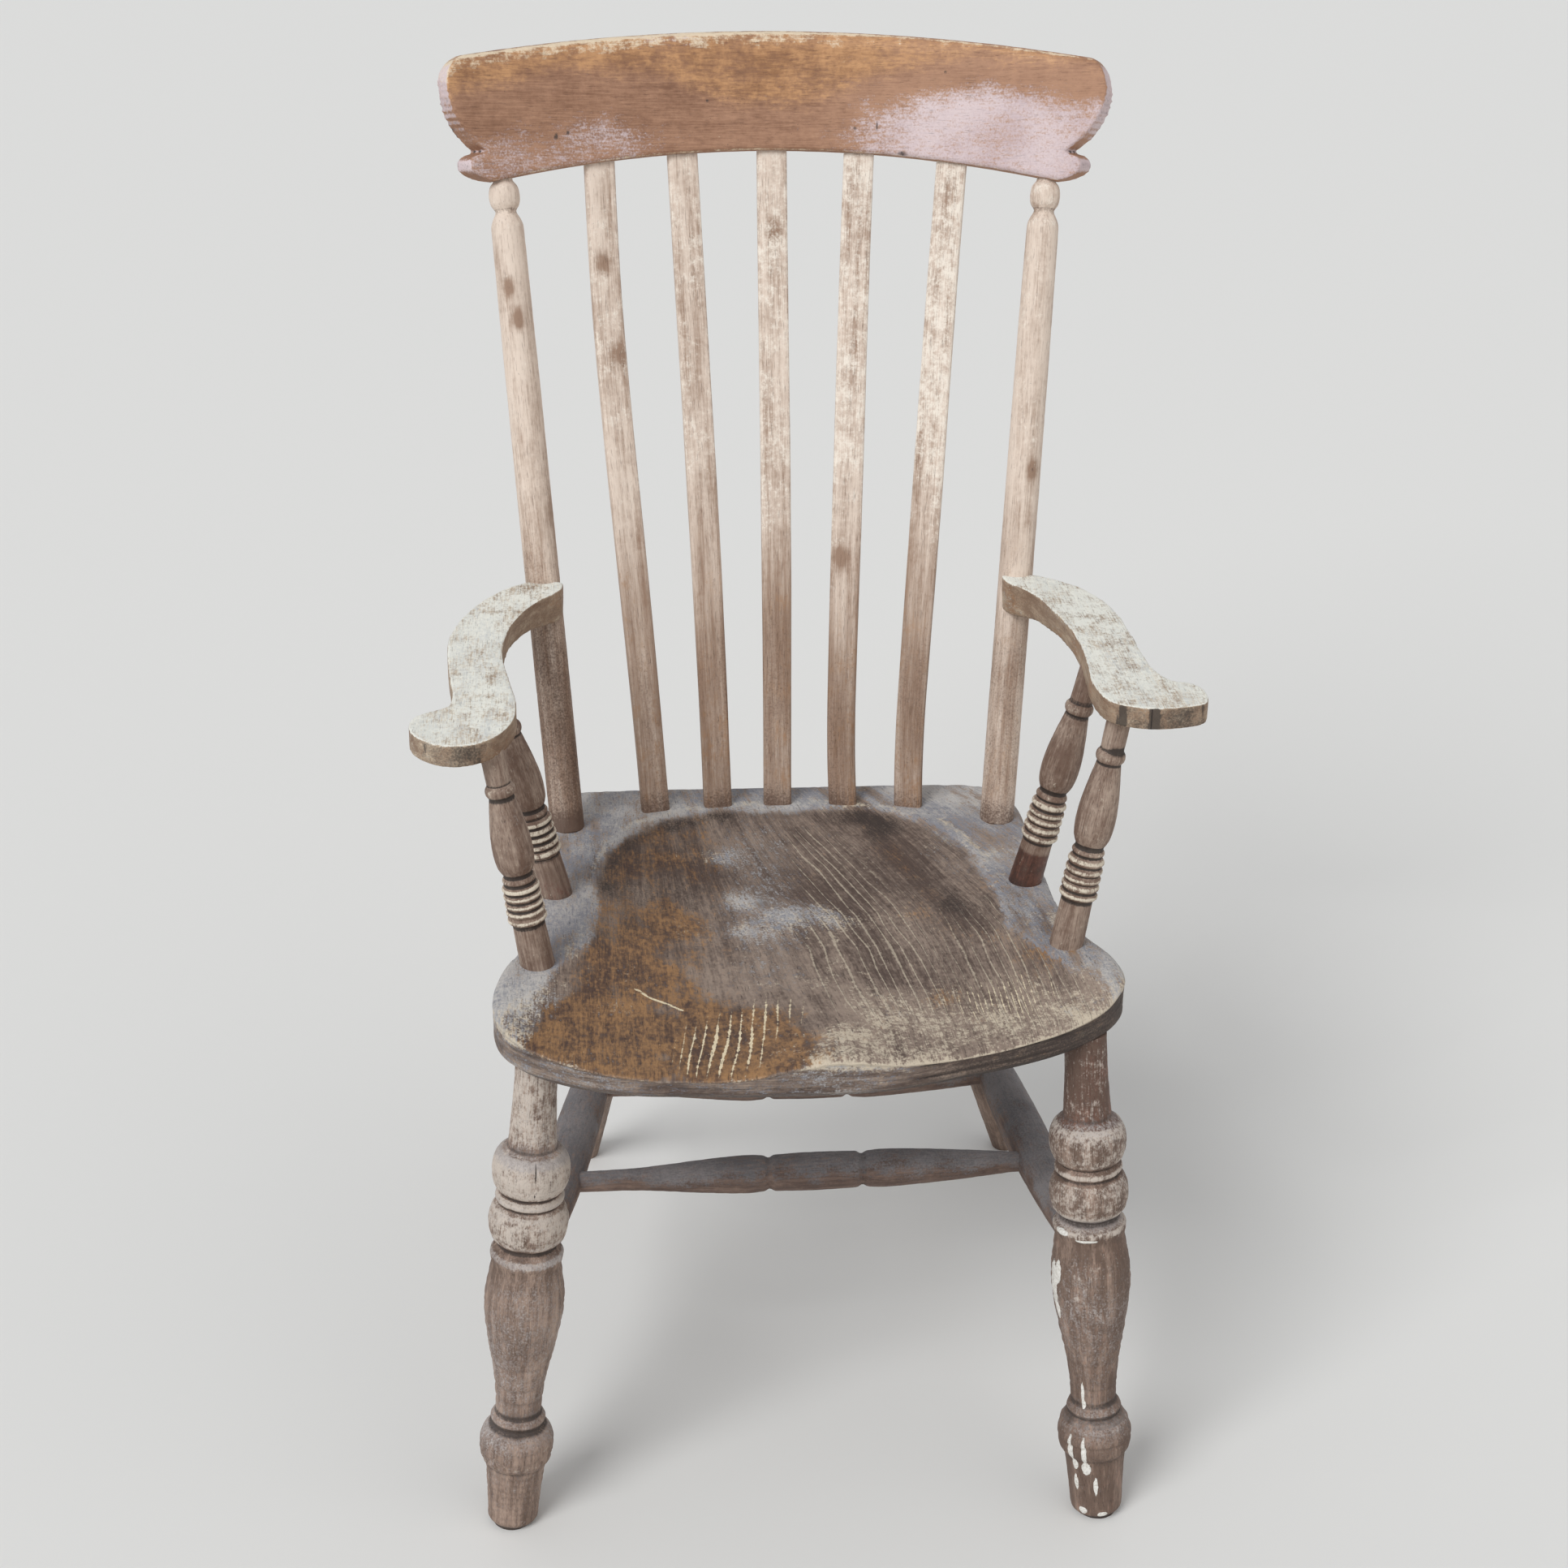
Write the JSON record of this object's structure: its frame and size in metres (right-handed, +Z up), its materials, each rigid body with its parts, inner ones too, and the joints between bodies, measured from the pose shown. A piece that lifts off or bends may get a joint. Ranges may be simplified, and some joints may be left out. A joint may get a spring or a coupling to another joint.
{
  "type": "lath-back windsor armchair",
  "caption": "Worn lath-back Windsor armchair: saddle seat, turned legs with an H of stretchers, flat S-shaped arms on turned spindles, five bowed laths and a shaped crest rail.",
  "frame": {"origin": "on the floor, under the middle of the chair's overall box", "axes": "+Z up, the chair faces -Y, +X is on the viewer's right when the chair is seen from the front"},
  "size_m": [0.6037, 0.6505, 1.0713],
  "materials": {
    "elm_seat": "worn varnish, dusty, open grain",
    "beech_legs": "worn and dirty, with drips and flakes of white paint",
    "beech_stretchers": "dull, dust on the upper side",
    "beech_back": "bare and dry, with knots and dirt",
    "varnished_crest": "worn varnish, bare along the top",
    "beech_arms": "bare tops, stained end grain at the hands",
    "beech_spindles": "rubbed, with dirt in the grooves",
    "screw_steel": "dull, tarnished"
  },
  "bodies": {
    "root": {"seat": "elm_seat", "front_leg_left": "beech_legs", "front_leg_right": "beech_legs", "rear_leg_left": "beech_legs", "rear_leg_right": "beech_legs", "side_stretcher_left": "beech_stretchers", "side_stretcher_right": "beech_stretchers", "front_cross_stretcher": "beech_stretchers", "rear_cross_stretcher": "beech_stretchers", "back_post_left": "beech_back", "back_post_right": "beech_back", "lath_1": "beech_back", "lath_2": "beech_back", "lath_3": "beech_back", "lath_4": "beech_back", "lath_5": "beech_back", "crest_rail": "varnished_crest", "arm_left": "beech_arms", "arm_right": "beech_arms", "front_arm_spindle_left": "beech_spindles", "front_arm_spindle_right": "beech_spindles", "rear_arm_spindle_left": "beech_spindles", "rear_arm_spindle_right": "beech_spindles", "arm_screw_left": "screw_steel", "arm_screw_right": "screw_steel"}
  },
  "joints": []
}
